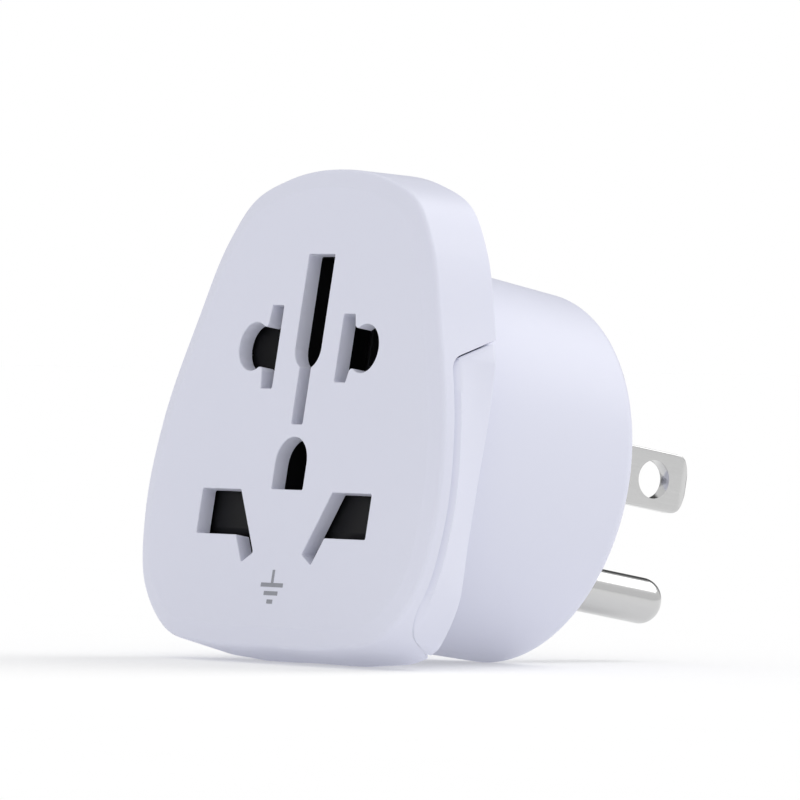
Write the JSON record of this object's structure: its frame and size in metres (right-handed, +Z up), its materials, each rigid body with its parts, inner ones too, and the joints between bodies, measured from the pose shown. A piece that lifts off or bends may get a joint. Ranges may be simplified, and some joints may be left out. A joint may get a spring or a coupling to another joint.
{
  "type": "universal travel adapter",
  "caption": "Travel adapter: a shuttered socket face for many plug types on a round plug body with two flat blades and a round earth pin.",
  "frame": {"origin": "centre of the rear face that meets the wall outlet, on the round plug body's axis", "axes": "+Y out of the rear face along the blades, +Z up towards the narrow top of the socket face, +X the right side seen from the socket face"},
  "size_m": [0.0504, 0.0488, 0.0505],
  "materials": {
    "shell_plastic": "satin white moulded plastic",
    "black_plastic": "smooth black moulded plastic",
    "white_insulator": "natural white insulating plastic",
    "nickel_plate": "nickel-plated brass, polished",
    "brass": "pressed brass sheet",
    "zinc_steel": "zinc-plated steel",
    "spring_steel": "drawn spring wire"
  },
  "bodies": {
    "housing": {"front_cover": "shell_plastic", "rear_housing": "shell_plastic", "contact_carrier": "black_plastic", "neutral_shutter_spring": "spring_steel", "live_shutter_spring": "spring_steel", "lower_shutter_spring_left": "spring_steel", "lower_shutter_spring_right": "spring_steel", "neutral_contact": "brass", "live_contact": "brass", "earth_contact": "brass", "neutral_blade": "nickel_plate", "live_blade": "nickel_plate", "ground_pin": "nickel_plate", "neutral_rivet": "zinc_steel", "live_rivet": "zinc_steel", "earth_washer": "zinc_steel", "blade_retainer": "white_insulator", "retainer_screw_left": "zinc_steel", "retainer_screw_right": "zinc_steel", "housing_screw_1": "zinc_steel", "housing_screw_2": "zinc_steel", "housing_screw_3": "zinc_steel", "housing_screw_4": "zinc_steel"},
    "neutral_shutter_body": {"neutral_shutter": "black_plastic"},
    "live_shutter_body": {"live_shutter": "black_plastic"},
    "lower_shutter_left_body": {"lower_shutter_left": "black_plastic"},
    "lower_shutter_right_body": {"lower_shutter_right": "black_plastic"}
  },
  "joints": [
    {"name": "neutral_shutter_slide", "type": "slide", "parent": "housing", "child": "neutral_shutter_body", "axis": [-1, 0, 0], "range_m": [0, 0.007], "stiffness_N_per_m": 120, "springref_m": -0.003, "deforming": ["neutral_shutter_spring"]},
    {"name": "live_shutter_slide", "type": "slide", "parent": "housing", "child": "live_shutter_body", "axis": [1, 0, 0], "range_m": [0, 0.007], "stiffness_N_per_m": 120, "springref_m": -0.003, "deforming": ["live_shutter_spring"]},
    {"name": "lower_shutter_left_slide", "type": "slide", "parent": "housing", "child": "lower_shutter_left_body", "axis": [0, 0, 1], "range_m": [0, 0.0087], "stiffness_N_per_m": 75, "springref_m": -0.004, "deforming": ["lower_shutter_spring_left"]},
    {"name": "lower_shutter_right_slide", "type": "slide", "parent": "housing", "child": "lower_shutter_right_body", "axis": [0, 0, 1], "range_m": [0, 0.0087], "stiffness_N_per_m": 75, "springref_m": -0.004, "deforming": ["lower_shutter_spring_right"]}
  ]
}
